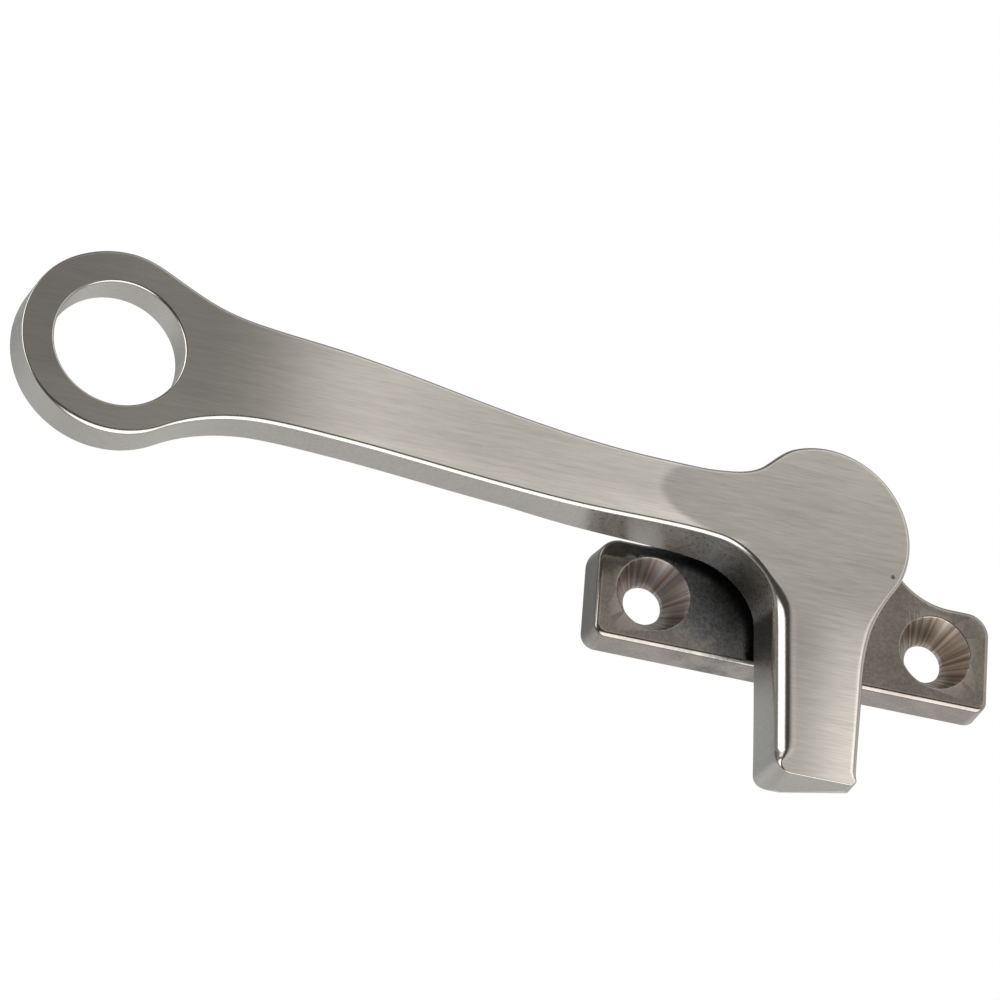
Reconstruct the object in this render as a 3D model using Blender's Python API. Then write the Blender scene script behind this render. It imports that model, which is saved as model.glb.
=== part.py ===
"""Casement window fastener: a ring-ended lever with a spur, turning on a screwed base plate.

The origin is on the pivot axis at the back face of the base plate. +X runs to the right along
the plate, +Z up, and +Y into the window that the plate is screwed to. The lever points to -X and
its spur to -Z, the closed position. Sizes below are in millimetres; objects are in metres.
"""

import math

import bmesh
import bpy

MM = 0.001
GAP = 0.3  # clearance that pieces keep from each other
DRAFT = 0.06  # how far the cast walls lean out for each step back from the front edge

# Base plate
PLATE_HALF_WIDTH = 25.0
PLATE_BOTTOM = -15.0
LOBE_TOP = -2.35  # top edge of the two screw lobes
PLATE_THICK = 4.5
HUMP_RADIUS = 11.9  # rounded rise behind the lever's head
HUMP_FILLET = 8.9
LOBE_TOP_CORNER = 2.8
LOBE_BOTTOM_CORNER = 1.5
PLATE_EDGE_ROUND = 0.65
SCREW_X = 18.0
SCREW_Z = -8.5
SCREW_HOLE_RADIUS = 2.45
COUNTERSINK_RADIUS = 4.58
COUNTERSINK_DEPTH = 3.8
RECESS_RADIUS = 8.5  # pocket in the back that hides the end of the pivot
RECESS_DEPTH = 2.9

# Lever
LEVER_LIFT = 1.6  # from the front of the plate to the back of the lever's head
HEAD_RADIUS = 10.85
HEAD_THICK = 7.0
ARM_THICK = 4.85  # also the ring's
RING_X = -86.8
RING_Z = 4.95
RING_RADIUS = 11.42
RING_HOLE_X = -86.7
RING_HOLE_Z = 4.7
RING_HOLE_RADIUS = 7.65
RING_HOLE_CHAMFER = 0.5
RAMP_START, RAMP_END = -38.0, -12.0  # where the arm thickens towards the head
SPUR_BOTTOM = -31.3
SPUR_RIGHT = 5.5
SPUR_LEFT = -4.6
SPUR_LEFT_CORNER = 1.9
SPUR_RIGHT_CORNER = 1.0
NOSE_ROUND_LEFT, NOSE_ROUND_RIGHT = 1.8, 5.5  # rounding of the spur's lower back edge
NOSE_LEFT_X, NOSE_RIGHT_X = -2.0, 5.0  # where it has these sizes; even between them
EDGE_ROUND = 0.6
SPUR_LEFT_ROUND = 1.6
SPUR_RIGHT_ROUND = 1.1
ROUND_START, ROUND_FULL = -7.0, -12.0  # heights where the spur's edges grow rounder

# Pivot
PIN_RADIUS = 4.0
PIN_NECK_RADIUS = 3.0
PIN_HEAD_RADIUS = 4.6
PIN_DEPTH_IN_LEVER = 4.2
THRUST_WASHER_RADIUS = 8.4
SPRING_WASHER_RADIUS = 7.6
SPRING_WASHER_THICK = 0.35
SPRING_WAVE = 0.16
SPRING_WAVES = 3
RETAINING_WASHER_RADIUS = 7.0

PLATE_FRONT = -PLATE_THICK
LEVER_BACK = PLATE_FRONT - LEVER_LIFT
LEVER_FRONT = LEVER_BACK - HEAD_THICK
BORE_RADIUS = PIN_RADIUS + GAP

ARC_STEP = math.radians(9)
CURVE_STEPS = 7
ROUND_SEGMENTS = 48


def clear_scene():
    for obj in list(bpy.data.objects):
        bpy.data.objects.remove(obj, do_unlink=True)


def material(name, colour, roughness):
    made = bpy.data.materials.new(name)
    made.use_nodes = True
    shader = made.node_tree.nodes["Principled BSDF"]
    shader.inputs["Base Color"].default_value = (*colour, 1.0)
    shader.inputs["Roughness"].default_value = roughness
    shader.inputs["Metallic"].default_value = 1.0
    return made


def add_object(name, bm, parent=None, look=None):
    """A mesh object from bm, whose points are in millimetres."""
    bmesh.ops.recalc_face_normals(bm, faces=bm.faces)
    bmesh.ops.scale(bm, vec=(MM, MM, MM), verts=bm.verts)
    mesh = bpy.data.meshes.new(name)
    bm.to_mesh(mesh)
    bm.free()
    mesh.shade_smooth()
    mesh.set_sharp_from_angle(angle=math.radians(30))
    obj = bpy.data.objects.new(name, mesh)
    bpy.context.scene.collection.objects.link(obj)
    obj.parent = parent
    if look:
        mesh.materials.append(look)
    return obj


def cut(obj, cutter):
    """Takes cutter out of obj, which is closed as the manifold solver needs. The cutter stays, hidden."""
    cutter.hide_render = True
    cutter.display_type = "WIRE"
    boolean = obj.modifiers.new(cutter.name, "BOOLEAN")
    boolean.operation = "DIFFERENCE"
    boolean.solver = "MANIFOLD"
    boolean.object = cutter


def arc(x, z, radius, start, end):
    """Points on a circle, from the start angle to the end angle in degrees, both included."""
    first, last = math.radians(start), math.radians(end)
    steps = max(2, math.ceil(abs(last - first) / ARC_STEP))
    angles = [first + (last - first) * i / steps for i in range(steps + 1)]
    return [(x + radius * math.cos(a), z + radius * math.sin(a)) for a in angles]


def on_circle(x, z, radius, angle):
    return arc(x, z, radius, angle, angle)[0]


def curve(start, heading, end, end_heading, reach=1 / 3):
    """Cubic curve between two points with a heading in degrees at each; the end points are left out."""
    length = math.dist(start, end) * reach
    first, last = math.radians(heading), math.radians(end_heading)
    p1 = (start[0] + length * math.cos(first), start[1] + length * math.sin(first))
    p2 = (end[0] - length * math.cos(last), end[1] - length * math.sin(last))
    points = []
    for i in range(1, CURVE_STEPS):
        t = i / CURVE_STEPS
        s = 1 - t
        weights = (s**3, 3 * s * s * t, 3 * s * t * t, t**3)
        points.append(
            tuple(sum(w * p[k] for w, p in zip(weights, (start, p1, p2, end))) for k in (0, 1))
        )
    return points


def smooth_edge(knots):
    """Curves through (x, z, heading) knots, with the knots themselves included."""
    points = [knots[0][:2]]
    for (x0, z0, h0), (x1, z1, h1) in zip(knots, knots[1:]):
        points += curve((x0, z0), h0, (x1, z1), h1)
        points.append((x1, z1))
    return points


def lever_outline():
    """Clockwise outline of the lever seen from the front, starting above the ring."""
    ring_top, ring_low = 88.0, -58.0
    head_start, head_end = 113.0, -34.5
    top_start = on_circle(RING_X, RING_Z, RING_RADIUS, ring_top)
    top_end = on_circle(0.0, 0.0, HEAD_RADIUS, head_start)
    spur_start = on_circle(0.0, 0.0, HEAD_RADIUS, head_end)
    low_end = on_circle(RING_X, RING_Z, RING_RADIUS, ring_low)
    top = [
        (*top_start, ring_top - 90),
        (-82.0, 15.1, -26.0),
        (-76.0, 12.3, -21.0),
        (-70.0, 10.93, -7.0),
        (-58.0, 9.7, -8.0),
        (-48.0, 8.12, -10.0),
        (-34.0, 5.92, -7.0),
        (-20.0, 5.0, 0.0),
        (-14.0, 5.1, 6.0),
        (-8.0, 6.98, 42.0),
        (*top_end, head_start - 90),
    ]
    spur_right = [
        (*spur_start, head_end - 90),
        (SPUR_RIGHT + 0.3, -18.0, -91.0),
        (SPUR_RIGHT, SPUR_BOTTOM + SPUR_RIGHT_CORNER, -91.0),
    ]
    underside = [
        (SPUR_LEFT, SPUR_BOTTOM + SPUR_LEFT_CORNER, 92.0),
        (-5.5, -11.0, 93.0),
        (-13.0, -3.62, 173.0),
        (-20.0, -3.31, 180.0),
        (-32.0, -3.33, 178.0),
        (-48.0, -2.32, 175.5),
        (-60.0, -1.49, 177.5),
        (-69.0, -1.3, 182.0),
        (*low_end, ring_low - 90),
    ]
    right, left = SPUR_RIGHT_CORNER, SPUR_LEFT_CORNER
    right_corner = arc(SPUR_RIGHT - right, SPUR_BOTTOM + right, right, 0, -90)
    left_corner = arc(SPUR_LEFT + left, SPUR_BOTTOM + left, left, -90, -180)
    head = arc(0.0, 0.0, HEAD_RADIUS, head_start, head_end)
    ring = arc(RING_X, RING_Z, RING_RADIUS, ring_low, ring_top - 360)
    outline = smooth_edge(top) + head[1:-1] + smooth_edge(spur_right) + right_corner[1:]
    return outline + left_corner[:-1] + smooth_edge(underside) + ring[1:-1]


def plate_outline():
    """Clockwise outline of the base plate seen from the front."""
    fillet_z = LOBE_TOP + HUMP_FILLET
    fillet_x = math.sqrt((HUMP_RADIUS + HUMP_FILLET) ** 2 - fillet_z**2)
    meet = math.degrees(math.atan2(fillet_z, fillet_x))
    top_x = PLATE_HALF_WIDTH - LOBE_TOP_CORNER
    low_x = PLATE_HALF_WIDTH - LOBE_BOTTOM_CORNER
    low_z = PLATE_BOTTOM + LOBE_BOTTOM_CORNER
    right = arc(0.0, 0.0, HUMP_RADIUS, 90, meet)
    right += arc(fillet_x, fillet_z, HUMP_FILLET, 180 + meet, 270)[1:]
    right += arc(top_x, LOBE_TOP - LOBE_TOP_CORNER, LOBE_TOP_CORNER, 90, 0)
    right += arc(low_x, low_z, LOBE_BOTTOM_CORNER, 0, -90)
    left = [(-x, z) for x, z in reversed(right[1:])]
    return right + left


def inset(outline, distances):
    """Moves each point of a clockwise outline inwards by its own distance."""
    moved = []
    for i, (x, z) in enumerate(outline):
        before, after = outline[i - 1], outline[(i + 1) % len(outline)]
        along_x, along_z = after[0] - before[0], after[1] - before[1]
        length = math.hypot(along_x, along_z)
        moved.append((x + along_z / length * distances[i], z - along_x / length * distances[i]))
    return moved


def slab(outline, front, back, rounds):
    """A plate between two depths, with leaning walls and a rounding at each point of its front edge."""
    bm = bmesh.new()
    levels = []
    for angle in (90, 60, 30, 0):
        share_in = 1 - math.cos(math.radians(angle))
        share_deep = 1 - math.sin(math.radians(angle))
        points = inset(outline, [r * share_in for r in rounds])
        deep = [front + r * share_deep for r in rounds]
        levels.append([bm.verts.new((x, y, z)) for (x, z), y in zip(points, deep)])
    wider = inset(outline, [DRAFT * (front - back)] * len(outline))
    levels.append([bm.verts.new((x, back, z)) for x, z in wider])
    bm.faces.new(levels[0])
    bm.faces.new(reversed(levels[-1]))
    count = len(outline)
    for upper, lower in zip(levels, levels[1:]):
        for i in range(count):
            j = (i + 1) % count
            bm.faces.new((upper[i], lower[i], lower[j], upper[j]))
    bmesh.ops.triangulate(bm, faces=[f for f in bm.faces if len(f.verts) > 4])
    return bm


def loft(sections):
    """A bar through closed sections of as many points each."""
    bm = bmesh.new()
    rings = [[bm.verts.new(spot) for spot in section] for section in sections]
    bm.faces.new(rings[0])
    bm.faces.new(reversed(rings[-1]))
    for first, second in zip(rings, rings[1:]):
        for i in range(len(first)):
            j = (i + 1) % len(first)
            bm.faces.new((first[i], second[i], second[j], first[j]))
    return bm


def turned(profile, x=0.0, z=0.0, wave=0.0):
    """A solid turned about a line along Y. The profile is a closed loop of (radius, y) points."""
    bm = bmesh.new()
    rings = []
    for radius, y in profile:
        if radius == 0:
            rings.append([bm.verts.new((x, y, z))])
            continue
        ring = []
        for i in range(ROUND_SEGMENTS):
            turn = math.tau * (i + 0.5) / ROUND_SEGMENTS
            lift = wave * math.cos(SPRING_WAVES * turn)
            ring.append(
                bm.verts.new((x + radius * math.cos(turn), y + lift, z + radius * math.sin(turn)))
            )
        rings.append(ring)
    for first, second in zip(rings, rings[1:] + rings[:1]):
        if len(first) == 1 and len(second) == 1:
            continue
        for i in range(ROUND_SEGMENTS):
            j = (i + 1) % ROUND_SEGMENTS
            spots = [first[i % len(first)], first[j % len(first)]]
            spots += [second[j % len(second)], second[i % len(second)]]
            bm.faces.new(list(dict.fromkeys(spots)))
    return bm


def washer(inner, outer, front, back, wave=0.0):
    return turned([(inner, front), (outer, front), (outer, back), (inner, back)], wave=wave)


def spur_rounding(x, z):
    """Edge rounding of the lever at an outline point: wide along the spur, fine elsewhere."""
    share = (ROUND_START - z) / (ROUND_START - ROUND_FULL)
    share = min(1.0, max(0.0, share))
    wide = SPUR_LEFT_ROUND if x < 0 else SPUR_RIGHT_ROUND
    above = (z - SPUR_BOTTOM) / (SPUR_LEFT_CORNER if x < 0 else SPUR_RIGHT_CORNER)
    return EDGE_ROUND + (wide - EDGE_ROUND) * min(share, max(0.0, above))


def back_profile_cutter():
    """Everything behind the lever's sloping back, as seen from above."""
    slope = (HEAD_THICK - ARM_THICK) / (RAMP_END - RAMP_START)
    clear = 3.0
    beyond = RING_X - RING_RADIUS - clear
    points = [
        (beyond, LEVER_FRONT + ARM_THICK),
        (RAMP_START, LEVER_FRONT + ARM_THICK),
        (RAMP_END + clear, LEVER_BACK + slope * clear),
        (RAMP_END + clear, LEVER_BACK + clear),
        (beyond, LEVER_BACK + clear),
    ]
    reach = 40.0
    sections = [[(x, y, z) for x, y in points] for z in (-reach, reach)]
    return add_object("lever_back_cutter", loft(sections))


def nose_section(x, radius):
    """What the rounding takes off the spur's lower back edge, across it at x."""
    clear, overlap = 1.0, 0.02
    wall = SPUR_BOTTOM - DRAFT * (HEAD_THICK - radius)
    centre_y, centre_z = LEVER_BACK + overlap - radius, wall - overlap + radius
    points = arc(centre_y, centre_z, radius, 0, -90)
    points += [(centre_y, wall - clear), (LEVER_BACK + clear, wall - clear)]
    points.append((LEVER_BACK + clear, centre_z))
    return [(x, y, z) for y, z in points]


def spur_nose_cutter():
    """Rounds the lower back edge of the spur, more and more towards its right, to lead it in."""
    clear = 8.0
    growth = (NOSE_ROUND_RIGHT - NOSE_ROUND_LEFT) / (NOSE_RIGHT_X - NOSE_LEFT_X)
    spots = [
        (NOSE_LEFT_X - clear, NOSE_ROUND_LEFT),
        (NOSE_LEFT_X, NOSE_ROUND_LEFT),
        (NOSE_RIGHT_X + 1, NOSE_ROUND_RIGHT + growth),
    ]
    return add_object("spur_nose_cutter", loft([nose_section(x, radius) for x, radius in spots]))


def make_lever(turning):
    outline = lever_outline()
    rounds = [spur_rounding(x, z) for x, z in outline]
    look = material("lever_satin_steel", (0.62, 0.61, 0.59), 0.34)
    lever = add_object("lever", slab(outline, LEVER_FRONT, LEVER_BACK, rounds), turning, look)
    hole, widen, clear = RING_HOLE_RADIUS, RING_HOLE_CHAMFER, 1.0
    ring_hole = [
        (0, LEVER_FRONT - clear),
        (hole + widen + clear, LEVER_FRONT - clear),
        (hole, LEVER_FRONT + widen),
        (hole, LEVER_BACK + clear),
        (0, LEVER_BACK + clear),
    ]
    blind = LEVER_BACK - PIN_DEPTH_IN_LEVER - GAP
    socket = [(0, blind), (BORE_RADIUS, blind), (BORE_RADIUS, LEVER_BACK + 1), (0, LEVER_BACK + 1)]
    cut(lever, back_profile_cutter())
    cut(lever, add_object("ring_hole_cutter", turned(ring_hole, RING_HOLE_X, RING_HOLE_Z)))
    cut(lever, add_object("pin_socket_cutter", turned(socket)))
    cut(lever, spur_nose_cutter())


def screw_hole_profile():
    slope = (COUNTERSINK_RADIUS - SCREW_HOLE_RADIUS) / COUNTERSINK_DEPTH
    clear = 1.0
    return [
        (0, PLATE_FRONT - clear),
        (COUNTERSINK_RADIUS + slope * clear, PLATE_FRONT - clear),
        (SCREW_HOLE_RADIUS, PLATE_FRONT + COUNTERSINK_DEPTH),
        (SCREW_HOLE_RADIUS, clear),
        (0, clear),
    ]


def make_base_plate():
    outline = plate_outline()
    look = material("plate_polished_steel", (0.46, 0.44, 0.42), 0.22)
    rounds = [PLATE_EDGE_ROUND] * len(outline)
    plate = add_object("base_plate", slab(outline, PLATE_FRONT, 0.0, rounds), look=look)
    floor = -RECESS_DEPTH
    pocket = [
        (0, PLATE_FRONT - 1),
        (BORE_RADIUS, PLATE_FRONT - 1),
        (BORE_RADIUS, floor),
        (RECESS_RADIUS, floor),
        (RECESS_RADIUS, 1),
        (0, 1),
    ]
    cut(plate, add_object("pivot_pocket_cutter", turned(pocket)))
    for side, x in (("left", -SCREW_X), ("right", SCREW_X)):
        cut(plate, add_object(f"{side}_screw_hole_cutter", turned(screw_hole_profile(), x, SCREW_Z)))


def make_pivot(turning):
    """Pin, washers and spring, stacked from the lever to the back of the plate."""
    steel = material("pivot_steel", (0.55, 0.55, 0.56), 0.3)
    blind = LEVER_BACK - PIN_DEPTH_IN_LEVER
    shoulder, head_front, head_back = -1.85, -0.75, -0.15
    chamfer = 0.4
    pin = [
        (0, blind),
        (PIN_RADIUS - chamfer, blind),
        (PIN_RADIUS, blind + chamfer),
        (PIN_RADIUS, shoulder),
        (PIN_NECK_RADIUS, shoulder),
        (PIN_NECK_RADIUS, head_front),
        (PIN_HEAD_RADIUS, head_front),
        (PIN_HEAD_RADIUS, head_front + 0.2),
        (PIN_HEAD_RADIUS * 0.7, head_back),
        (0, head_back),
    ]
    add_object("pivot_pin", turned(pin), turning, steel)

    retainer = material("retaining_washer_steel", (0.58, 0.57, 0.56), 0.35)
    shape = washer(PIN_NECK_RADIUS + GAP, RETAINING_WASHER_RADIUS, -1.7, -1.0)
    add_object("retaining_washer", shape, turning, retainer)

    spring = material("spring_washer_steel", (0.42, 0.42, 0.44), 0.28)
    front = -RECESS_DEPTH + 0.25 + SPRING_WAVE
    back = front + SPRING_WASHER_THICK
    shape = washer(BORE_RADIUS + 0.1, SPRING_WASHER_RADIUS, front, back, SPRING_WAVE)
    add_object("spring_washer", shape, look=spring)

    thrust = material("thrust_washer_steel", (0.6, 0.59, 0.57), 0.3)
    shape = washer(BORE_RADIUS, THRUST_WASHER_RADIUS, LEVER_BACK + GAP, PLATE_FRONT - GAP)
    add_object("thrust_washer", shape, look=thrust)


def main():
    clear_scene()
    turning = bpy.data.objects.new("lever_pivot", None)
    bpy.context.scene.collection.objects.link(turning)
    make_base_plate()
    make_lever(turning)
    make_pivot(turning)


main()
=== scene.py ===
"""Looks of a casement window fastener: a ring-ended lever with a spur on a screwed base plate.

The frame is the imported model's: +X along the plate, +Z up, +Y into the window, metres. The
shapes below are drawn in millimetres, with their main sizes taken from the frame's nodes.
"""

import math

import bmesh
import bpy
from mathutils import Matrix, Vector


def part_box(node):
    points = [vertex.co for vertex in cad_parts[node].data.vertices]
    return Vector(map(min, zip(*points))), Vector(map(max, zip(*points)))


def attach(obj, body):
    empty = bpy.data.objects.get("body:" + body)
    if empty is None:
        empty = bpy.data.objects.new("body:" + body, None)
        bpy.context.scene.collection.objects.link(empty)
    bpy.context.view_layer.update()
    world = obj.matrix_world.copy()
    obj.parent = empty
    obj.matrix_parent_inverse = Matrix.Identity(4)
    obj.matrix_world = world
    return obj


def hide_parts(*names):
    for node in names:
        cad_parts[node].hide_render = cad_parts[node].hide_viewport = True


MM = 0.001

# Lever
DRAFT = 0.06  # how far the cast walls lean out for each step back from the front edge
RING_Z = 4.95
RING_RADIUS = 11.42
RING_HOLE_X, RING_HOLE_Z = -86.7, 4.7
RING_HOLE_RADIUS = 7.65
RING_HOLE_ROUND = 0.35
ARM_THICK = 4.85
RAMP_START, RAMP_END = -38.0, -12.0
SPUR_LEFT, SPUR_RIGHT = -4.6, 5.5
SPUR_LEFT_CORNER = 1.9
SPUR_RIGHT_CORNER = 1.0
NOSE_ROUND_LEFT, NOSE_ROUND_RIGHT = 1.8, 5.5
NOSE_LEFT_X, NOSE_RIGHT_X = -2.0, 5.0
EDGE_ROUND = 0.6
RING_LEFT_ROUND = 0.25
BACK_ROUND = 0.35
SPUR_LEFT_ROUND = 2.5
SPUR_RIGHT_ROUND = 1.1
SPUR_END_ROUND = 0.12
SPUR_LEFT_FADE, SPUR_RIGHT_FADE = 3.4, 1.6
ROUND_START, ROUND_FULL = -7.0, -12.0  # heights where the spur's wide roundings start and are whole
RING_ROUND_START, RING_ROUND_FULL = RING_HOLE_X - 4, RING_HOLE_X - 9
NOSE_EDGE_HEIGHT = 0.5  # above the spur's end, where the back edge is sharpest
NOSE_EDGE_LOSS = 0.5
SOCKET_DEPTH = 4.5
BORE_RADIUS = 4.3

# Slight tilt of the arm's brushed front face
TILT_START, TILT_END = -21.0, -68.0
TILT_DEPTH = 0.1
TILT_SOFTNESS = 8

# Base plate
LOBE_TOP = -2.35
HUMP_FILLET = 8.9
LOBE_TOP_CORNER = 2.8
LOBE_BOTTOM_CORNER = 1.5
PLATE_EDGE_ROUND = 0.65
SCREW_X, SCREW_Z = 18.0, -8.5
SCREW_HOLE_RADIUS = 2.45
COUNTERSINK_RADIUS = 4.58
COUNTERSINK_DEPTH = 3.8
RECESS_RADIUS = 8.5
RECESS_DEPTH = 2.9

# Mesh fineness
ARC_STEP = math.radians(3)
CURVE_STEPS = 18
ROUND_STEPS = 7
ROUND_ANGLES = [math.radians(90 * (1 - i / ROUND_STEPS)) for i in range(ROUND_STEPS + 1)]
HOLE_SEGMENTS = 120
TILT_CUTS, TILT_CUT_STEP = 9, 2
NOSE_CUTS, NOSE_CUT_STEP = 5, 1.6
NOSE_LEVELS = 12
NOSE_LEVEL_DROP = 0.2
SHARP_ANGLE = math.radians(32)
FLAT_FACE_WEIGHT = 80

# Depths behind the front and before the back that keep their shape where the walls stretch
FRONT_ZONE, BACK_ZONE = 2.0, 0.4

# Finishes and painted light: places in metres, and waves per metre along X, Y and Z
STEEL = (0.67, 0.65, 0.615)
BRUSHING, COARSE_BRUSHING = (330, 400, 4600), (90, 200, 1900)
LEVER_CLOUDS, LEVER_GRAIN = (60, 60, 140), (2500, 2500, 2500)
BRUSHING_DIRECTION = (1.0, 0.02, 0.013)
# Painted reflections: how light the lever's front is painted along the arm, standing in for how it
# catches the light
ARM_PAINTED_TONES = (0.3, 0.33, 0.92, 0.82, 0.74, 0.78, 0.92)  # from the ring to the head
ARM_PAINTED_TONES_START, ARM_PAINTED_TONES_END = -0.08, -0.02
PATCH_X, PATCH_Z = -0.008, 0.0015
PATCH_LENGTH, PATCH_HALF_HEIGHT = 0.013, 0.00526
PIT = (0.0087, -0.0131, -0.0041)
PIT_RADIUS, PIT_RIM = 0.0002, 0.00035
# Plate colours: warm steel; steel darkened by painted shade round the pivot; brown for painted
# reflections in the countersinks
WARM_STEEL, SHADED_STEEL, BROWN_REFLECTION_COLOUR = (0.44, 0.405, 0.37, 1), (0.3, 0.31, 0.325, 1), (0.6, 0.42, 0.3, 1)
PLATE_CLOUDS, PLATE_GRAIN = (260, 260, 260), (2600, 2600, 2600)
# Round the pivot, under the lever, the plate is rough and speckled from casting, and painted darker
# there as shade
CAST_AND_SHADE_CENTRE = (-0.006, -0.0045, -0.001)
CAST_AND_SHADE_RADIUS, CAST_AND_SHADE_FADE = 0.01, 0.018
TURNING = 9000.0  # waves per metre away from the pivot

# Camera, which looks up at the fastener from its lower left
CAMERA_AIM = (-37.24, -10.02, -0.15)
CAMERA_DISTANCE = 560.5
CAMERA_AZIMUTH, CAMERA_ELEVATION = -16.92, -25.27
CAMERA_ROLL = 4.65
CAMERA_LENS = 173.43
CAMERA_SENSOR = 36.0
CAMERA_SHIFT = (-0.0196, -0.0213)
CAMERA_CLIP = (0.05, 50.0)

FLOOR_Z = -0.62
FLOOR_HALF_WIDTH = 6.0
FLOOR_COLOUR = (0.85, 0.85, 0.84, 1)

# The studio's dim room: colour and strength
ROOM_COLOUR, ROOM_STRENGTH = (1.0, 0.96, 0.9), 0.08

# Its soft panels: direction, direction across, half width and height in degrees, softness,
# strength and colour
PANELS = (
    ((-0.88, -0.3, 0.34), (0, 1, 0), 19, 36, 0.5, 2.1, (1.0, 0.98, 0.95)),  # left
    ((0.92, -0.22, 0.3), (0, 1, 0), 35, 50, 0.6, 0.42, (1.0, 0.97, 0.92)),  # right
    ((0.24, -0.28, -0.93), (1, 0, 0), 42, 34, 0.35, 2.0, (1.0, 0.98, 0.95)),  # low
    ((0.3, -0.45, 0.84), (1, 0, 0), 30, 20, 0.6, 0.35, (1.0, 0.98, 0.95)),  # top
    ((0.34, -0.82, 0.45), (1, 0, 0), 37, 31, 0.6, 0.95, (1.0, 0.97, 0.92)),  # room
    ((0.323, -0.857, 0.402), (1, 0, 0), 9, 6, 0.8, -0.4, (1.0, 0.97, 0.92)),  # dimmer spot in the room
    ((0.0, 0.93, 0.35), (1, 0, 0), 80, 60, 0.4, 0.34, (0.93, 0.97, 1.0)),  # back
    ((0.1, 0.75, -0.65), (1, 0, 0), 80, 50, 0.5, 0.36, (1.0, 0.98, 0.96)),  # low, behind
)


def node_sizes():
    """Lowest and highest corners of the CAD nodes that the shapes are drawn from, in millimetres."""
    return {
        name: tuple(Vector(corner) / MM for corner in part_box(name))
        for name in ("lever", "base_plate")
    }


# Curves in the XZ plane


def arc(x, z, radius, start, end):
    """Points on a circle, from the start angle to the end angle in degrees, both included."""
    first, last = math.radians(start), math.radians(end)
    steps = max(2, math.ceil(abs(last - first) / ARC_STEP))
    angles = [first + (last - first) * i / steps for i in range(steps + 1)]
    return [(x + radius * math.cos(a), z + radius * math.sin(a)) for a in angles]


def on_circle(x, z, radius, angle):
    return arc(x, z, radius, angle, angle)[0]


def curve(start, heading, end, end_heading):
    """Cubic curve between two points with a heading in degrees at each; the end points are left out."""
    length = math.dist(start, end) / 3
    first, last = math.radians(heading), math.radians(end_heading)
    p1 = (start[0] + length * math.cos(first), start[1] + length * math.sin(first))
    p2 = (end[0] - length * math.cos(last), end[1] - length * math.sin(last))
    points = []
    for i in range(1, CURVE_STEPS):
        t = i / CURVE_STEPS
        s = 1 - t
        weights = (s**3, 3 * s * s * t, 3 * s * t * t, t**3)
        points.append(
            tuple(sum(w * p[k] for w, p in zip(weights, (start, p1, p2, end))) for k in (0, 1))
        )
    return points


def smooth_edge(knots):
    """Curves through (x, z, heading) knots, with the knots themselves included."""
    points = [knots[0][:2]]
    for (x0, z0, h0), (x1, z1, h1) in zip(knots, knots[1:]):
        points += curve((x0, z0), h0, (x1, z1), h1)
        points.append((x1, z1))
    return points


def circle(x, z, radius):
    """Clockwise points on a whole circle."""
    turns = [-math.tau * (i + 0.5) / HOLE_SEGMENTS for i in range(HOLE_SEGMENTS)]
    return [(x + radius * math.cos(a), z + radius * math.sin(a)) for a in turns]


def inset(outline, distances):
    """Moves each point of a clockwise outline inwards by its own distance."""
    moved = []
    for i, (x, z) in enumerate(outline):
        before, after = outline[i - 1], outline[(i + 1) % len(outline)]
        along_x, along_z = after[0] - before[0], after[1] - before[1]
        length = math.hypot(along_x, along_z)
        moved.append((x + along_z / length * distances[i], z - along_x / length * distances[i]))
    return moved


def share_between(value, start, end):
    """0 at start, 1 at end, and smooth between them."""
    t = min(1.0, max(0.0, (value - start) / (end - start)))
    return t * t * (3 - 2 * t)


# Solids drawn between two depths


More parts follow.
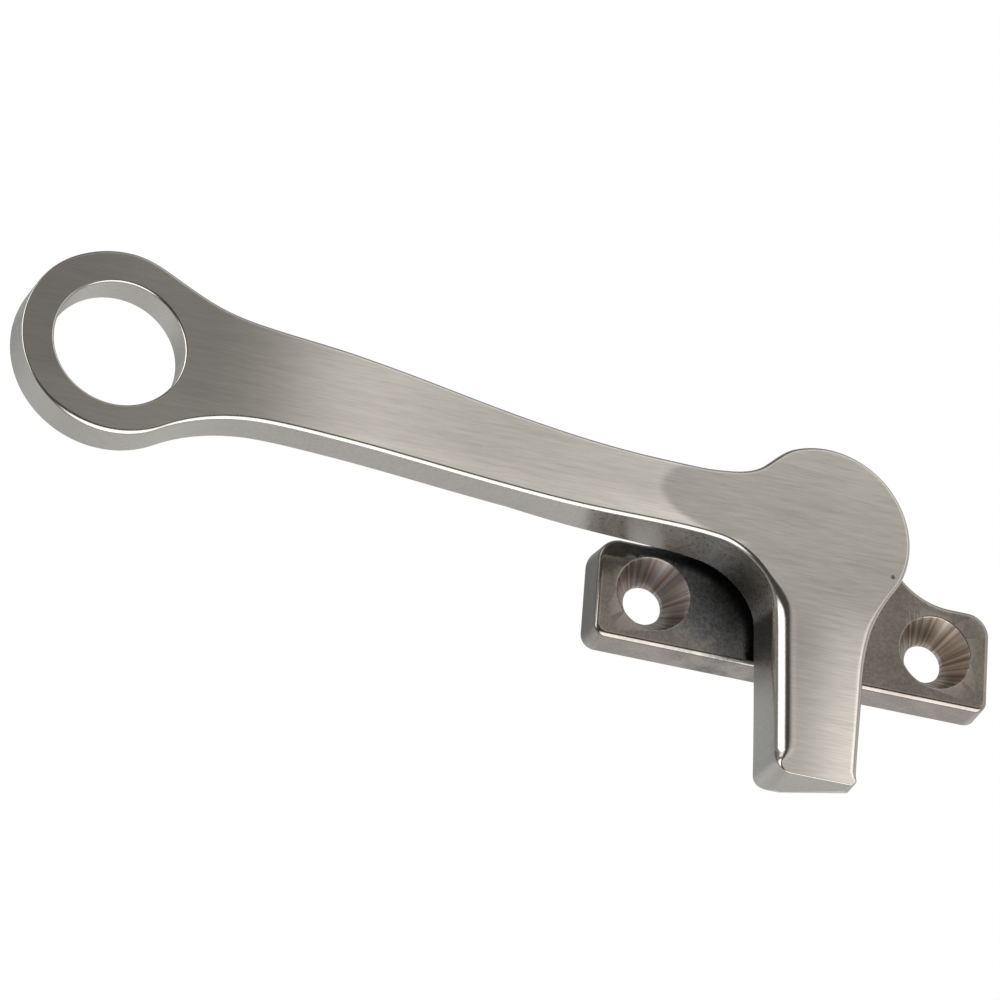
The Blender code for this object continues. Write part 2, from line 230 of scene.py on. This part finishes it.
class Slab:
    """A mesh that grows from closed rings of points at given depths behind its front face."""

    def __init__(self):
        self.bm = bmesh.new()
        self.edge = self.bm.verts.layers.float.new("edge")

    def ring(self, points, depth, edge=0.0):
        made = [self.bm.verts.new((x, depth, z)) for x, z in points]
        for vert in made:
            vert[self.edge] = edge
        return made

    def band(self, rings):
        """Quads between each ring and the next."""
        for upper, lower in zip(rings, rings[1:]):
            for i in range(len(upper)):
                j = (i + 1) % len(upper)
                self.bm.faces.new((upper[i], lower[i], lower[j], upper[j]))

    def fill(self, rings):
        """A flat face inside the first ring and outside the others."""
        edges = []
        for ring in rings:
            for a, b in zip(ring, ring[1:] + ring[:1]):
                edges.append(self.bm.edges.get((a, b)) or self.bm.edges.new((a, b)))
        bmesh.ops.triangle_fill(self.bm, use_beauty=True, use_dissolve=False, edges=edges)

    def rounded_edge(self, outline, rounds, depth, inwards):
        """Rings from the flat face to the wall. Inwards is 1 at the front and -1 at the back."""
        rings = []
        for angle in ROUND_ANGLES:
            points = inset(outline, [r * (1 - math.cos(angle)) for r in rounds])
            rings.append(self.rounded_ring(points, rounds, depth, inwards, angle))
        return rings

    def rounded_hole(self, x, z, radius, rounding, depth, inwards):
        """Rings of a round hole's rim, from the flat face to the hole's wall."""
        rings = []
        for angle in ROUND_ANGLES:
            points = circle(x, z, radius + rounding * (1 - math.cos(angle)))
            rounds = [rounding] * HOLE_SEGMENTS
            rings.append(self.rounded_ring(points, rounds, depth, inwards, angle))
        return rings

    def rounded_ring(self, points, rounds, depth, inwards, angle):
        """One ring of a rounding, from 90 degrees at the flat face to 0 at the wall."""
        ring = self.ring(points, depth, math.sin(2 * angle))
        for vert, r in zip(ring, rounds):
            vert.co.y += inwards * r * (1 - math.sin(angle))
        return ring

    def split(self, point, normal):
        """Cuts the faces along a plane, so that they can bend there."""
        geometry = self.bm.verts[:] + self.bm.edges[:] + self.bm.faces[:]
        bmesh.ops.bisect_plane(
            self.bm, geom=geometry, dist=1e-4, plane_co=Vector(point), plane_no=Vector(normal)
        )

    def bend(self, thick, front, back):
        """Moves the front to front(x, z) and the back to back(x, z), and stretches the walls between."""
        for vert in self.bm.verts:
            x, depth, z = vert.co
            share = (depth - FRONT_ZONE) / (thick - FRONT_ZONE - BACK_ZONE)
            share = min(1.0, max(0.0, share))
            near, far = front(x, z) + depth, back(x, z) - (thick - depth)
            vert.co.y = near * (1 - share) + far * share

    def finish(self, name, look, body, node):
        """Makes the object, which replaces a CAD node and rides on its body."""
        bmesh.ops.recalc_face_normals(self.bm, faces=self.bm.faces)
        bmesh.ops.scale(self.bm, vec=(MM, MM, MM), verts=self.bm.verts)
        mesh = bpy.data.meshes.new(name)
        self.bm.to_mesh(mesh)
        self.bm.free()
        mesh.shade_smooth()
        mesh.set_sharp_from_angle(angle=SHARP_ANGLE)
        mesh.materials.append(look)
        obj = bpy.data.objects.new(name, mesh)
        bpy.context.scene.collection.objects.link(obj)
        normals = obj.modifiers.new("flat_faces_stay_flat", "WEIGHTED_NORMAL")
        normals.keep_sharp = True
        normals.weight = FLAT_FACE_WEIGHT
        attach(obj, body)
        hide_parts(node)
        return obj


# Lever


def lever_outline(ring_x, head_radius, spur_bottom):
    """Clockwise outline of the lever's front, starting above the ring."""
    ring_top, ring_low = 88.0, -58.0
    head_start, head_end = 113.0, -34.5
    top_start = on_circle(ring_x, RING_Z, RING_RADIUS, ring_top)
    top_end = on_circle(0.0, 0.0, head_radius, head_start)
    spur_start = on_circle(0.0, 0.0, head_radius, head_end)
    low_end = on_circle(ring_x, RING_Z, RING_RADIUS, ring_low)
    top = [
        (*top_start, ring_top - 90),
        (-82.0, 15.1, -26.0),
        (-76.0, 12.3, -21.0),
        (-70.0, 10.93, -7.0),
        (-58.0, 9.7, -8.0),
        (-48.0, 8.12, -10.0),
        (-34.0, 5.92, -7.0),
        (-20.0, 5.0, 0.0),
        (-14.0, 5.1, 6.0),
        (-8.0, 6.98, 42.0),
        (*top_end, head_start - 90),
    ]
    right, left = SPUR_RIGHT_CORNER, SPUR_LEFT_CORNER
    spur_right_edge = [
        (*spur_start, head_end - 90),
        (SPUR_RIGHT + 0.3, -18.0, -91.0),
        (SPUR_RIGHT, spur_bottom + right, -91.0),
    ]
    underside = [
        (SPUR_LEFT, spur_bottom + left, 92.0),
        (-5.5, -11.0, 93.0),
        (-13.0, -3.62, 173.0),
        (-20.0, -3.31, 180.0),
        (-32.0, -3.33, 178.0),
        (-48.0, -2.32, 175.5),
        (-60.0, -1.49, 177.5),
        (-69.0, -1.3, 182.0),
        (*low_end, ring_low - 90),
    ]
    right_corner = arc(SPUR_RIGHT - right, spur_bottom + right, right, 0, -90)
    left_corner = arc(SPUR_LEFT + left, spur_bottom + left, left, -90, -180)
    head = arc(0.0, 0.0, head_radius, head_start, head_end)
    ring = arc(ring_x, RING_Z, RING_RADIUS, ring_low, ring_top - 360)
    outline = smooth_edge(top) + head[1:-1] + smooth_edge(spur_right_edge) + right_corner[1:]
    return outline + left_corner[:-1] + smooth_edge(underside) + ring[1:-1]


def front_rounding(x, z, spur_bottom):
    """Front edge rounding of the lever: wide along the spur, sharp at its end, fine elsewhere."""
    wide = SPUR_LEFT_ROUND if x < 0 else SPUR_RIGHT_ROUND
    side = EDGE_ROUND + (wide - EDGE_ROUND) * share_between(z, ROUND_START, ROUND_FULL)
    left = share_between(x, RING_ROUND_START, RING_ROUND_FULL)
    side += (RING_LEFT_ROUND - EDGE_ROUND) * left
    fade = SPUR_LEFT_FADE if x < 0 else SPUR_RIGHT_FADE
    above = share_between(z, spur_bottom, spur_bottom + fade)
    return SPUR_END_ROUND + (side - SPUR_END_ROUND) * above


def nose_radius(x):
    """Rounding of the spur's lower back edge, which grows to the right."""
    share = max(0.0, (x - NOSE_LEFT_X) / (NOSE_RIGHT_X - NOSE_LEFT_X))
    return NOSE_ROUND_LEFT + (NOSE_ROUND_RIGHT - NOSE_ROUND_LEFT) * share


def back_rounding(x, z, spur_bottom):
    """Back edge rounding, which gives way to the nose at the end of the spur."""
    nose = share_between(z, spur_bottom + nose_radius(x), spur_bottom + NOSE_EDGE_HEIGHT)
    return BACK_ROUND * (1 - NOSE_EDGE_LOSS * nose)


def lever_front(face):
    """Depth of the lever's front face as a function of x and z."""

    def depth(x, z):
        share = min(1.0, max(0.0, (TILT_START - x) / (TILT_START - TILT_END)))
        soft = share_between(x, TILT_END + TILT_SOFTNESS, TILT_END - TILT_SOFTNESS)
        return face + TILT_DEPTH * (share * (1 - soft) + soft)

    return depth


def lever_back(face, back, spur_bottom):
    """Depth of the lever's back as a function of x and z."""

    def depth(x, z):
        ramp = min(1.0, max(0.0, (x - RAMP_START) / (RAMP_END - RAMP_START)))
        thick = ARM_THICK + (back - face - ARM_THICK) * ramp
        radius = nose_radius(x)
        wall = spur_bottom - DRAFT * (back - face - radius)
        below = min(radius, max(0.0, wall + radius - z))
        return face + thick - radius + math.sqrt(radius**2 - below**2)

    return depth


def split_lever(slab, spur_bottom):
    """Cuts the lever wherever its front or back bends."""
    bends = [TILT_START, RAMP_START, RAMP_END]
    bends += [TILT_END + TILT_SOFTNESS - TILT_CUT_STEP * i for i in range(TILT_CUTS)]
    bends += [NOSE_LEFT_X + NOSE_CUT_STEP * i for i in range(NOSE_CUTS)]
    for x in bends:
        slab.split((x, 0, 0), (1, 0, 0))
    for i in range(1, NOSE_LEVELS + 1):
        angle = math.radians(90 * i / NOSE_LEVELS)
        height = NOSE_ROUND_RIGHT * (1 - math.cos(angle)) - NOSE_LEVEL_DROP
        slab.split((0, 0, spur_bottom + height), (0, 0, 1))


def make_lever(sizes, look):
    """The whole lever: ring, arm, head and spur, with a blind bore for the pivot in its back."""
    low, high = sizes["lever"]
    thick = high.y - low.y
    ring_x = low.x + RING_RADIUS + DRAFT * ARM_THICK
    spur_bottom = low.z + DRAFT * (thick - NOSE_ROUND_LEFT)
    outline = lever_outline(ring_x, high.x - DRAFT * thick, spur_bottom)
    back_depth = lever_back(low.y, high.y, spur_bottom)
    wider = outline
    # The lean depends on the depth, which depends on where the outline has moved to.
    for _ in range(2):
        wider = inset(outline, [DRAFT * (low.y - back_depth(x, z)) for x, z in wider])
    slab = Slab()
    fronts = [front_rounding(x, z, spur_bottom) for x, z in outline]
    backs = [back_rounding(x, z, spur_bottom) for x, z in outline]
    front = slab.rounded_edge(outline, fronts, 0.0, 1)
    back = slab.rounded_edge(wider, backs, thick, -1)[::-1]
    slab.band(front + back)

    hole = (RING_HOLE_X, RING_HOLE_Z, RING_HOLE_RADIUS)
    hole_front = slab.rounded_hole(*hole, RING_HOLE_ROUND, 0.0, 1)
    hole_back = slab.rounded_hole(*hole, BACK_ROUND, thick, -1)[::-1]
    slab.band(hole_front + hole_back)

    socket = [slab.ring(circle(0, 0, BORE_RADIUS), thick)]
    socket.append(slab.ring(circle(0, 0, BORE_RADIUS), thick - SOCKET_DEPTH))
    slab.band(socket)
    slab.fill([socket[-1]])
    slab.fill([front[0], hole_front[0]])
    slab.fill([back[-1], hole_back[-1], socket[0]])
    split_lever(slab, spur_bottom)
    slab.bend(thick, lever_front(low.y), back_depth)
    return slab.finish("lever_casting", look, "lever", "lever")


# Base plate


def plate_outline(half_width, hump, bottom):
    """Clockwise outline of the base plate's front."""
    fillet_z = LOBE_TOP + HUMP_FILLET
    fillet_x = math.sqrt((hump + HUMP_FILLET) ** 2 - fillet_z**2)
    meet = math.degrees(math.atan2(fillet_z, fillet_x))
    top_x = half_width - LOBE_TOP_CORNER
    low_x = half_width - LOBE_BOTTOM_CORNER
    low_z = bottom + LOBE_BOTTOM_CORNER
    right = arc(0.0, 0.0, hump, 90, meet)
    right += arc(fillet_x, fillet_z, HUMP_FILLET, 180 + meet, 270)[1:]
    right += arc(top_x, LOBE_TOP - LOBE_TOP_CORNER, LOBE_TOP_CORNER, 90, 0)
    right += arc(low_x, low_z, LOBE_BOTTOM_CORNER, 0, -90)
    left = [(-x, z) for x, z in reversed(right[1:])]
    return right + left


def make_base_plate(sizes, look):
    """The plate with its two screw holes, and the pivot's bore and pocket."""
    low, high = sizes["base_plate"]
    thick = high.y - low.y
    lean = DRAFT * thick
    outline = plate_outline(high.x - lean, high.z - lean, low.z + lean)
    slab = Slab()
    front = slab.rounded_edge(outline, [PLATE_EDGE_ROUND] * len(outline), 0.0, 1)
    wider = inset(outline, [-lean] * len(outline))
    back = slab.rounded_edge(wider, [BACK_ROUND] * len(outline), thick, -1)[::-1]
    slab.band(front + back)
    fronts, backs = [front[0]], [back[-1]]
    for x in (-SCREW_X, SCREW_X):
        rings = screw_hole(slab, x, thick)
        slab.band(rings)
        fronts.append(rings[0])
        backs.append(rings[-1])
    pocket = [
        slab.ring(circle(0, 0, radius), depth)
        for radius, depth in (
            (BORE_RADIUS, 0.0),
            (BORE_RADIUS, thick - RECESS_DEPTH),
            (RECESS_RADIUS, thick - RECESS_DEPTH),
            (RECESS_RADIUS, thick),
        )
    ]
    slab.band(pocket)
    slab.fill(fronts + [pocket[0]])
    slab.fill(backs + [pocket[-1]])
    slab.bend(thick, lambda x, z: low.y, lambda x, z: high.y)
    return slab.finish("base_plate_casting", look, "base", "base_plate")


def screw_hole(slab, x, thick):
    """Rings of a countersunk hole, with a slightly broken rim, from the front to the back."""
    rings = [
        (COUNTERSINK_RADIUS + 0.15, 0.0),
        (COUNTERSINK_RADIUS + 0.05, 0.03),
        (COUNTERSINK_RADIUS - 0.08, 0.14),
        (SCREW_HOLE_RADIUS + 0.08, COUNTERSINK_DEPTH - 0.14),
        (SCREW_HOLE_RADIUS, COUNTERSINK_DEPTH + 0.05),
        (SCREW_HOLE_RADIUS, thick),
    ]
    return [slab.ring(circle(x, SCREW_Z, radius), depth) for radius, depth in rings]


# Materials


class Graph:
    """Adds nodes to a tree, with values or other nodes' sockets as their inputs."""

    def __init__(self, tree):
        self.tree = tree

    def node(self, kind, inputs=None, **settings):
        made = self.tree.nodes.new("ShaderNode" + kind)
        for name, value in settings.items():
            setattr(made, name, value)
        for name, value in (inputs or {}).items():
            self.feed(made.inputs[name], value)
        return made

    def feed(self, socket, value):
        if isinstance(value, bpy.types.NodeSocket):
            self.tree.links.new(value, socket)
        else:
            socket.default_value = value

    def math(self, operation, first, second=0.0):
        return self.node("Math", {0: first, 1: second}, operation=operation).outputs[0]

    def vector(self, operation, first, second):
        made = self.node("VectorMath", {0: first, 1: second}, operation=operation)
        single = operation in ("DOT_PRODUCT", "LENGTH", "DISTANCE")
        return made.outputs["Value" if single else "Vector"]

    def noise(self, place, stretch, detail=2.0, roughness=0.5):
        """Noise with so many waves per metre along X, Y and Z."""
        at = self.vector("MULTIPLY", place, stretch)
        inputs = {"Vector": at, "Scale": 1.0, "Detail": detail, "Roughness": roughness}
        return self.node("TexNoise", inputs).outputs["Fac"]

    def ramp(self, value, low, high, out_low=0.0, out_high=1.0):
        """Smooth step from out_low to out_high as value goes from low to high."""
        inputs = {"Value": value, 1: low, 2: high, 3: out_low, 4: out_high}
        return self.node("MapRange", inputs, interpolation_type="SMOOTHSTEP").outputs["Result"]

    def product(self, *values):
        result = values[0]
        for value in values[1:]:
            result = self.math("MULTIPLY", result, value)
        return result

    def stops(self, value, low, high, levels):
        """A level that smoothly follows evenly spaced levels as value goes from low to high."""
        made = self.node("ValToRGB", {"Fac": self.spread(value, low, high)})
        ramp = made.color_ramp
        ramp.interpolation = "B_SPLINE"
        for i in range(len(levels) - 2):
            ramp.elements.new((i + 1) / (len(levels) - 1))
        for element, level in zip(ramp.elements, levels):
            element.color = (level, level, level, 1)
        return made.outputs["Color"]

    def spread(self, value, low, high):
        """0 at low and 1 at high, straight between them."""
        return self.node("MapRange", {"Value": value, 1: low, 2: high}).outputs["Result"]

    def blend(self, share, first, second):
        made = self.node("Mix", {"Factor": share}, data_type="FLOAT")
        self.feed(made.inputs[2], first)
        self.feed(made.inputs[3], second)
        return made.outputs[0]

    def blend_colour(self, share, first, second):
        made = self.node("Mix", {"Factor": share}, data_type="RGBA")
        self.feed(made.inputs[6], first)
        self.feed(made.inputs[7], second)
        return made.outputs[2]

    def scaled(self, colour, level):
        made = self.node("VectorMath", {0: colour}, operation="SCALE")
        self.feed(made.inputs["Scale"], level)
        return made.outputs["Vector"]


def new_material(name):
    made = bpy.data.materials.new(name)
    made.use_nodes = True
    return made, Graph(made.node_tree), made.node_tree.nodes["Principled BSDF"]


def head_patch(graph, axes):
    """1 on the head and the spur, where the brushing ends in a round-nosed patch, 0 on the arm."""
    across = graph.math("DIVIDE", graph.math("SUBTRACT", axes["X"], PATCH_X), PATCH_LENGTH)
    upward = graph.math("DIVIDE", graph.math("SUBTRACT", axes["Z"], PATCH_Z), PATCH_HALF_HEIGHT)
    left = graph.math("MINIMUM", across, 0.0)
    reach = graph.math("ADD", graph.math("POWER", left, 2.0), graph.math("POWER", upward, 2.0))
    return graph.math(
        "MAXIMUM", graph.ramp(reach, 1.1, 0.85), graph.ramp(axes["X"], -0.012, -0.009)
    )


def painted_face_reflections(graph, axes):
    """Painted reflections over the lever's front, standing in for how its brushed zones catch the light:
    dull ring, bright arm, duller head.
    """
    arm = graph.stops(axes["X"], ARM_PAINTED_TONES_START, ARM_PAINTED_TONES_END, ARM_PAINTED_TONES)
    ring = graph.ramp(axes["X"], ARM_PAINTED_TONES_START, -0.097, 1.0, 0.84)
    # Painted highlight: the arm's front is painted lighter along its lower edge
    painted_lower_highlight = graph.ramp(axes["Z"], 0.001, -0.002, 1.0, 1.15)
    arm = graph.product(arm, ring, painted_lower_highlight)
    # Painted reflections on the head and spur: the spur is painted lighter towards its end and its right
    # side
    head = graph.ramp(axes["Z"], 0.002, 0.009, 0.62, 0.7)
    down_spur = graph.ramp(axes["Z"], -0.011, -0.029, 0.78, 1.12)
    across_spur = graph.ramp(axes["X"], -0.003, 0.0045, 0.66, 1.08)
    spur = graph.math("MULTIPLY", down_spur, across_spur)
    head = graph.blend(graph.ramp(axes["Z"], -0.007, -0.015), head, spur)
    return graph.blend(head_patch(graph, axes), arm, head)


def lever_material():
    """Satin steel: brushed along the arm on the front, plain on the walls and the back, with painted
    reflections on the front and painted shade on the back.
    """
    look, graph, shader = new_material("satin_brushed_steel")
    coordinates = graph.node("TexCoord")
    place = coordinates.outputs["Object"]
    normal = coordinates.outputs["Normal"]
    axes = graph.node("SeparateXYZ", {"Vector": place}).outputs
    facing_y = graph.node("SeparateXYZ", {"Vector": normal}).outputs["Y"]
    face = graph.ramp(facing_y, -0.9, -0.995)
    behind = graph.ramp(facing_y, 0.5, 0.9)

    fine = graph.noise(place, BRUSHING, 3.0, 0.65)
    coarse = graph.noise(place, COARSE_BRUSHING, 2.0, 0.5)
    cloud = graph.noise(place, LEVER_CLOUDS, 2.0)
    grain = graph.noise(place, LEVER_GRAIN, 2.0, 0.6)
    brushed = graph.blend(0.35, fine, coarse)
    texture = graph.blend(face, grain, brushed)

    # Painted shade: the back is painted darker than the walls, 0.6 against 0.9, for the shade between
    # the lever and the plate
    tone = graph.blend(face, graph.blend(behind, 0.9, 0.6), painted_face_reflections(graph, axes))
    grainy = graph.ramp(grain, 0.3, 0.7, 0.95, 1.05)
    streaky = graph.ramp(brushed, 0.3, 0.7, 0.89, 1.11)
    variation = graph.blend(face, grainy, streaky)
    clouds = graph.ramp(cloud, 0.3, 0.7, 0.97, 1.03)
    pit = graph.ramp(graph.vector("DISTANCE", place, PIT), PIT_RADIUS, PIT_RIM, 0.35, 1.0)
    level = graph.product(tone, variation, clouds, pit)
    graph.feed(shader.inputs["Base Color"], graph.scaled(STEEL, level))

    edge = graph.node("Attribute", attribute_name="edge").outputs["Fac"]
    rough = graph.ramp(texture, 0.3, 0.7, 0.27, 0.36)
    rough = graph.blend(graph.ramp(edge, 0.0, 0.7), rough, 0.17)
    graph.feed(shader.inputs["Roughness"], rough)
    shader.inputs["Metallic"].default_value = 1.0
    bump = graph.node("Bump", {"Strength": 0.08, "Distance": 0.00003, "Height": texture})
    graph.feed(shader.inputs["Normal"], bump.outputs["Normal"])
    shader.inputs["Anisotropic"].default_value = 0.7
    across = graph.vector("CROSS_PRODUCT", normal, BRUSHING_DIRECTION)
    turn = graph.node(
        "VectorTransform", {"Vector": across}, convert_from="OBJECT", convert_to="WORLD"
    )
    graph.feed(shader.inputs["Tangent"], turn.outputs["Vector"])
    return look


def around_screw_hole(graph, place, x):
    """1 close round a screw hole's axis behind the plate's front, and streaks towards the axis."""
    offset = graph.vector("SUBTRACT", place, (x * MM, 0, SCREW_Z * MM))
    flat = graph.vector("MULTIPLY", offset, (1, 0, 1))
    radius = graph.vector("LENGTH", flat, (0, 0, 0))
    depth = graph.node("SeparateXYZ", {"Vector": place}).outputs["Y"]
    close = graph.ramp(radius, 0.00475, 0.0046)
    inside = graph.math("MULTIPLY", close, graph.ramp(depth, -0.00448, -0.00443))
    turn = graph.node("VectorMath", {0: flat}, operation="NORMALIZE").outputs["Vector"]
    return inside, graph.noise(turn, (7, 7, 7), 3.0, 0.6)


def plate_material():
    """Polished steel casting, rough near the pivot, where painted shade also darkens it, with turned
    countersinks that carry painted reflections.
    """
    look, graph, shader = new_material("polished_cast_steel")
    coordinates = graph.node("TexCoord")
    place = coordinates.outputs["Object"]
    axes = graph.node("SeparateXYZ", {"Vector": place}).outputs
    facing = graph.node("SeparateXYZ", {"Vector": coordinates.outputs["Normal"]}).outputs
    grain = graph.noise(place, PLATE_GRAIN, 3.0, 0.65)
    cloud = graph.noise(place, PLATE_CLOUDS, 3.0)
    away = graph.vector("DISTANCE", place, CAST_AND_SHADE_CENTRE)
    away = graph.math("ADD", away, graph.ramp(cloud, 0.3, 0.7, -0.002, 0.002))
    cast_and_shade = graph.ramp(away, CAST_AND_SHADE_FADE, CAST_AND_SHADE_RADIUS)
    left_hole, left_streaks = around_screw_hole(graph, place, -SCREW_X)
    right_hole, right_streaks = around_screw_hole(graph, place, SCREW_X)
    hole = graph.math("MAXIMUM", left_hole, right_hole)
    streaks = graph.blend(right_hole, left_streaks, right_streaks)

    faint, strong = graph.ramp(grain, 0.3, 0.7, 0.9, 1.08), graph.ramp(grain, 0.3, 0.7, 0.6, 1.15)
    speckle = graph.blend(cast_and_shade, faint, strong)
    # Painted shade: the plate's left-facing walls and, most of all, its front face are painted darker
    # for the dim light they reflect
    side = graph.ramp(facing["X"], -0.5, -0.95, 1.0, 0.62)
    front = graph.ramp(facing["Y"], -0.9, -0.99, 1.0, 0.47)
    level = graph.product(speckle, side, front, graph.ramp(cloud, 0.3, 0.7, 0.92, 1.08))
    # Painted reflections: bright and dark streaks round each countersink
    level = graph.blend(hole, level, graph.ramp(streaks, 0.32, 0.68, 0.55, 1.6))
    # Painted shade: the steel is painted darker round the pivot, under the lever
    steel = graph.blend_colour(cast_and_shade, WARM_STEEL, SHADED_STEEL)
    # Painted reflection: brown streaks in the countersinks
    brown_reflection_share = graph.math("MULTIPLY", hole, graph.ramp(streaks, 0.6, 0.4, 0.0, 0.5))
    colour = graph.blend_colour(brown_reflection_share, steel, BROWN_REFLECTION_COLOUR)
    graph.feed(shader.inputs["Base Color"], graph.scaled(colour, level))

    rough = graph.blend(cast_and_shade, graph.ramp(grain, 0.3, 0.7, 0.15, 0.22), 0.36)
    graph.feed(shader.inputs["Roughness"], graph.blend(hole, rough, 0.4))
    shader.inputs["Metallic"].default_value = 1.0
    height = graph.blend(hole, grain, streaks)
    strength = graph.blend(hole, graph.blend(cast_and_shade, 0.06, 0.35), 0.5)
    bump = graph.node("Bump", {"Strength": strength, "Distance": 0.00005, "Height": height})
    graph.feed(shader.inputs["Normal"], bump.outputs["Normal"])
    return look


def turned_material(name, colour, roughness):
    """Turned steel: fine rings round the pivot."""
    look, graph, shader = new_material(name)
    place = graph.node("TexCoord").outputs["Object"]
    flat = graph.vector("MULTIPLY", place, (1, 0, 1))
    radius = graph.vector("LENGTH", flat, (0, 0, 0))
    inputs = {"W": radius, "Scale": TURNING, "Detail": 2.0}
    grooves = graph.node("TexNoise", inputs, noise_dimensions="1D").outputs["Fac"]
    level = graph.ramp(grooves, 0.3, 0.7, 0.88, 1.06)
    graph.feed(shader.inputs["Base Color"], graph.scaled(colour, level))
    rough = graph.ramp(grooves, 0.3, 0.7, roughness - 0.06, roughness + 0.08)
    graph.feed(shader.inputs["Roughness"], rough)
    shader.inputs["Metallic"].default_value = 1.0
    bump = graph.node("Bump", {"Strength": 0.2, "Distance": 0.00002, "Height": grooves})
    graph.feed(shader.inputs["Normal"], bump.outputs["Normal"])
    return look


def finish_small_pieces(nodes):
    """The pivot and its washers keep their CAD shape and get turned steel."""
    colours = {
        "pivot_pin": ((0.55, 0.55, 0.56), 0.3),
        "retaining_washer": ((0.58, 0.57, 0.56), 0.35),
        "spring_washer": ((0.42, 0.42, 0.44), 0.28),
        "thrust_washer": ((0.6, 0.59, 0.57), 0.3),
    }
    for name, (colour, roughness) in colours.items():
        look = turned_material("turned_" + name, colour, roughness)
        for slot in nodes[name].material_slots:
            slot.material = look


# Studio


def make_camera():
    """A long lens that looks up at the fastener from its lower left."""
    azimuth, elevation = math.radians(CAMERA_AZIMUTH), math.radians(CAMERA_ELEVATION)
    back = Vector(
        (
            math.sin(azimuth) * math.cos(elevation),
            -math.cos(azimuth) * math.cos(elevation),
            math.sin(elevation),
        )
    )
    data = bpy.data.cameras.new("camera")
    data.lens = CAMERA_LENS
    data.sensor_width = CAMERA_SENSOR
    data.shift_x, data.shift_y = CAMERA_SHIFT
    data.clip_start, data.clip_end = CAMERA_CLIP
    camera = bpy.data.objects.new("camera", data)
    bpy.context.scene.collection.objects.link(camera)
    level = (-back).to_track_quat("-Z", "Y").to_matrix().to_4x4()
    roll = Matrix.Rotation(math.radians(CAMERA_ROLL), 4, "Z")
    place = Vector(CAMERA_AIM) * MM + back * CAMERA_DISTANCE * MM
    camera.matrix_world = Matrix.Translation(place) @ level @ roll
    bpy.context.scene.camera = camera


def patch(graph, direction, axis, across, half_width, half_height, softness):
    """1 towards the axis and 0 away from it, inside an ellipse of so many degrees each way."""
    axis = Vector(axis).normalized()
    side = Vector(across)
    side = (side - side.project(axis)).normalized()
    over = axis.cross(side)
    wide = math.sin(math.radians(half_width))
    high = math.sin(math.radians(half_height))
    sideways = graph.vector("DOT_PRODUCT", direction, tuple(side / wide))
    upward = graph.vector("DOT_PRODUCT", direction, tuple(over / high))
    ahead = graph.vector("DOT_PRODUCT", direction, tuple(axis))
    reach = graph.math("ADD", graph.math("POWER", sideways, 2.0), graph.math("POWER", upward, 2.0))
    inside = graph.ramp(reach, 1.0 + softness, 1.0 - softness)
    return graph.math("MULTIPLY", inside, graph.ramp(ahead, 0.0, 0.1))


def make_world():
    """White behind the object, and a dim room with soft panels for it to reflect."""
    world = bpy.data.worlds.new("studio")
    bpy.context.scene.world = world
    world.use_nodes = True
    graph = Graph(world.node_tree)
    world.node_tree.nodes.clear()
    direction = graph.node("TexCoord").outputs["Generated"]
    light = graph.scaled(ROOM_COLOUR, ROOM_STRENGTH)
    for axis, across, half_width, half_height, softness, strength, colour in PANELS:
        share = patch(graph, direction, axis, across, half_width, half_height, softness)
        panel = graph.scaled(colour, graph.math("MULTIPLY", share, strength))
        light = graph.vector("ADD", light, panel)
    seen = graph.node("Background", {"Color": (1, 1, 1, 1), "Strength": 1.0})
    ambient = graph.node("Background", {"Color": light, "Strength": 1.0})
    shares = graph.node("MixShader")
    graph.feed(shares.inputs[0], graph.node("LightPath").outputs["Is Camera Ray"])
    graph.feed(shares.inputs[1], ambient.outputs[0])
    graph.feed(shares.inputs[2], seen.outputs[0])
    output = graph.node("OutputWorld")
    graph.feed(output.inputs["Surface"], shares.outputs[0])


def make_floor():
    look, _, shader = new_material("pale_floor")
    shader.inputs["Base Color"].default_value = FLOOR_COLOUR
    shader.inputs["Roughness"].default_value = 0.9
    bm = bmesh.new()
    bmesh.ops.create_grid(bm, x_segments=1, y_segments=1, size=FLOOR_HALF_WIDTH)
    mesh = bpy.data.meshes.new("floor")
    bm.to_mesh(mesh)
    bm.free()
    mesh.materials.append(look)
    floor = bpy.data.objects.new("floor", mesh)
    floor.location.z = FLOOR_Z
    floor.visible_glossy = False
    bpy.context.scene.collection.objects.link(floor)


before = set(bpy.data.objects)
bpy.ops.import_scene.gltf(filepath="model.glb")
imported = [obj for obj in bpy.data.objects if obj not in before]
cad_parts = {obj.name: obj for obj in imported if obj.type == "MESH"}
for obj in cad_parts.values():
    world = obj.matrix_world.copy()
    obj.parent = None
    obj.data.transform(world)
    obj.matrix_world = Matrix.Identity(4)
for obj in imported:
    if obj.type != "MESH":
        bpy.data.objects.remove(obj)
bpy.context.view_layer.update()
bpy.context.scene.view_settings.view_transform = "Standard"
sizes = node_sizes()
make_camera()
make_world()
make_floor()
make_lever(sizes, lever_material())
make_base_plate(sizes, plate_material())
finish_small_pieces(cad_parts)
